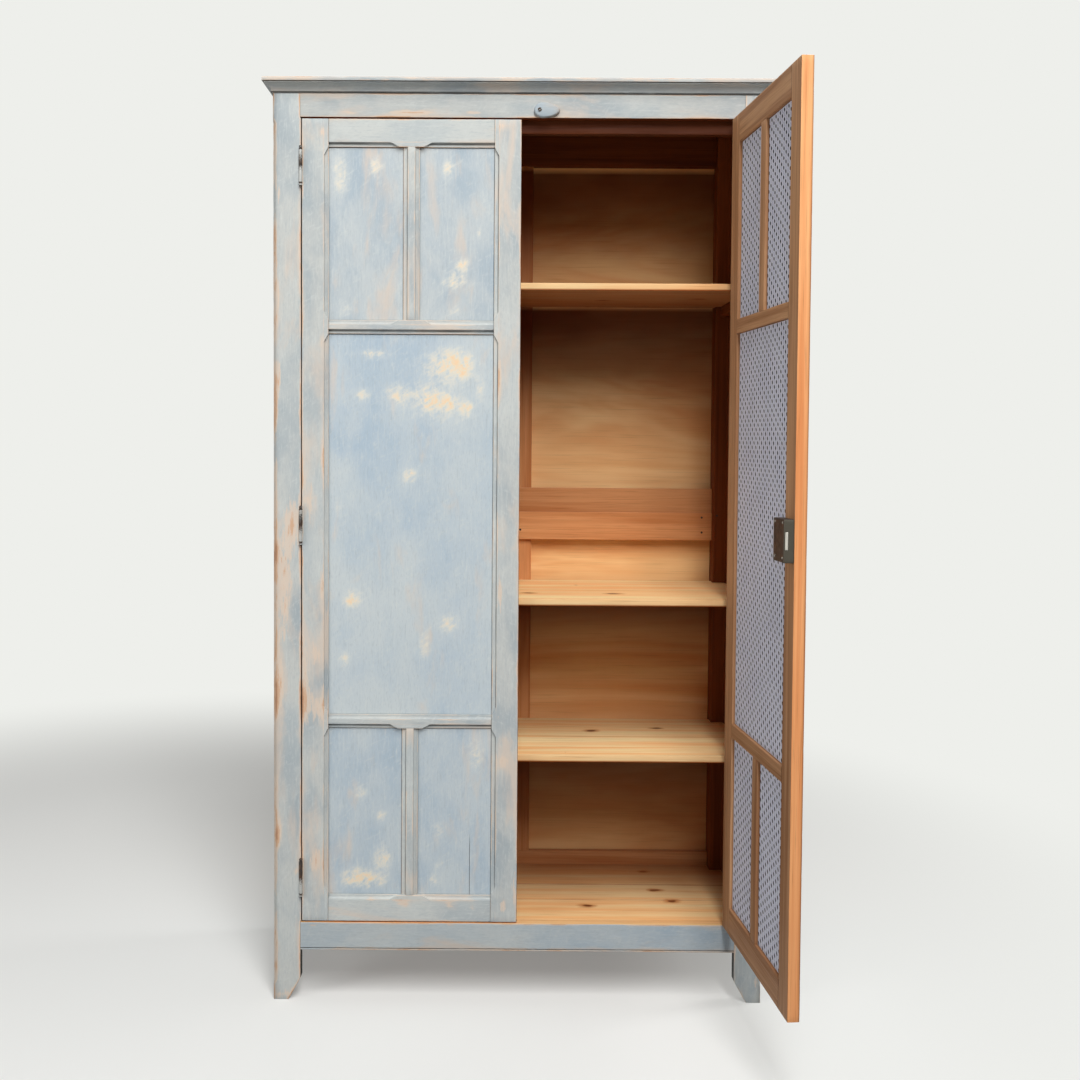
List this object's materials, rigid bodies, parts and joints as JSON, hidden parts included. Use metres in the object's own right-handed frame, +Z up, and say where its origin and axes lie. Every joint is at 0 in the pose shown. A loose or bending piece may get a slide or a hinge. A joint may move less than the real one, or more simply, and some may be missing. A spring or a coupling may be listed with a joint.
{
  "type": "two-door cupboard",
  "caption": "Free-standing painted wooden cupboard with panelled doors, shelves, lift-off hinges, a turn button and a rim lock.",
  "frame": {"origin": "middle of the footprint on the floor, with the right door standing open as it does at rest", "axes": "+Z up, +X to the right as seen from the front, and the front faces -Y"},
  "size_m": [1.028, 0.836, 1.853],
  "materials": {
    "painted_wood": "matt worn chalk paint",
    "bare_wood": "aged bare wood",
    "shelf_wood": "waxed softwood",
    "back_wood": "aged brown wood",
    "hinge_iron": "dull",
    "lock_iron": "dull",
    "bolt_steel": "worn bright"
  },
  "bodies": {
    "carcass": {"back_bottom_rail": "back_wood", "back_centre_stile": "back_wood", "back_middle_rail": "back_wood", "back_sheet": "back_wood", "back_top_rail": "back_wood", "cornice_top": "painted_wood", "door_stop": "bare_wood", "floor_board": "shelf_wood", "frieze_rail": "painted_wood", "front_bottom_rail": "painted_wood", "front_left_post": "painted_wood", "front_right_post": "painted_wood", "left_post_hinge_low": "hinge_iron", "left_post_hinge_middle": "hinge_iron", "left_post_hinge_top": "hinge_iron", "left_side": "painted_wood", "lower_shelf": "shelf_wood", "middle_shelf": "shelf_wood", "rear_left_post": "painted_wood", "rear_right_post": "painted_wood", "right_post_hinge_low": "hinge_iron", "right_post_hinge_middle": "hinge_iron", "right_post_hinge_top": "hinge_iron", "right_side": "painted_wood", "upper_shelf": "shelf_wood"},
    "left_door": {"left_door_bottom_rail": "painted_wood", "left_door_hinge_low": "hinge_iron", "left_door_hinge_middle": "hinge_iron", "left_door_hinge_stile": "painted_wood", "left_door_hinge_top": "hinge_iron", "left_door_lower_cross_rail": "painted_wood", "left_door_lower_free_panel": "painted_wood", "left_door_lower_hinge_panel": "painted_wood", "left_door_lower_muntin": "painted_wood", "left_door_meeting_stile": "painted_wood", "left_door_middle_panel": "painted_wood", "left_door_top_rail": "painted_wood", "left_door_upper_cross_rail": "painted_wood", "left_door_upper_free_panel": "painted_wood", "left_door_upper_hinge_panel": "painted_wood", "left_door_upper_muntin": "painted_wood"},
    "right_door": {"right_door_bottom_rail": "painted_wood", "right_door_hinge_low": "hinge_iron", "right_door_hinge_middle": "hinge_iron", "right_door_hinge_stile": "painted_wood", "right_door_hinge_top": "hinge_iron", "right_door_lower_cross_rail": "painted_wood", "right_door_lower_free_panel": "painted_wood", "right_door_lower_hinge_panel": "painted_wood", "right_door_lower_muntin": "painted_wood", "right_door_meeting_stile": "painted_wood", "right_door_middle_panel": "painted_wood", "right_door_top_rail": "painted_wood", "right_door_upper_cross_rail": "painted_wood", "right_door_upper_free_panel": "painted_wood", "right_door_upper_hinge_panel": "painted_wood", "right_door_upper_muntin": "painted_wood", "lock_case": "lock_iron"},
    "turn_button": {"turn_button": "painted_wood"},
    "lock_bolt": {"lock_bolt": "bolt_steel"}
  },
  "joints": [
    {"name": "left_door_hinge", "type": "hinge", "parent": "carcass", "child": "left_door", "pos_m": [-0.43935, 0.022, 0.96725], "axis": [0, 0, -1], "range_deg": [0, 170]},
    {"name": "right_door_hinge", "type": "hinge", "parent": "carcass", "child": "right_door", "pos_m": [0.43935, 0.022, 0.96725], "axis": [0, 0, 1], "range_deg": [-95, 75]},
    {"name": "turn_button_screw", "type": "hinge", "parent": "carcass", "child": "turn_button", "pos_m": [0.0337, 0.026, 1.793], "axis": [0, 1, 0], "range_deg": [0, 180]},
    {"name": "lock_bolt_slide", "type": "slide", "parent": "right_door", "child": "lock_bolt", "axis": [0.0872, -0.9962, 0], "range_m": [0, 0.01]}
  ]
}
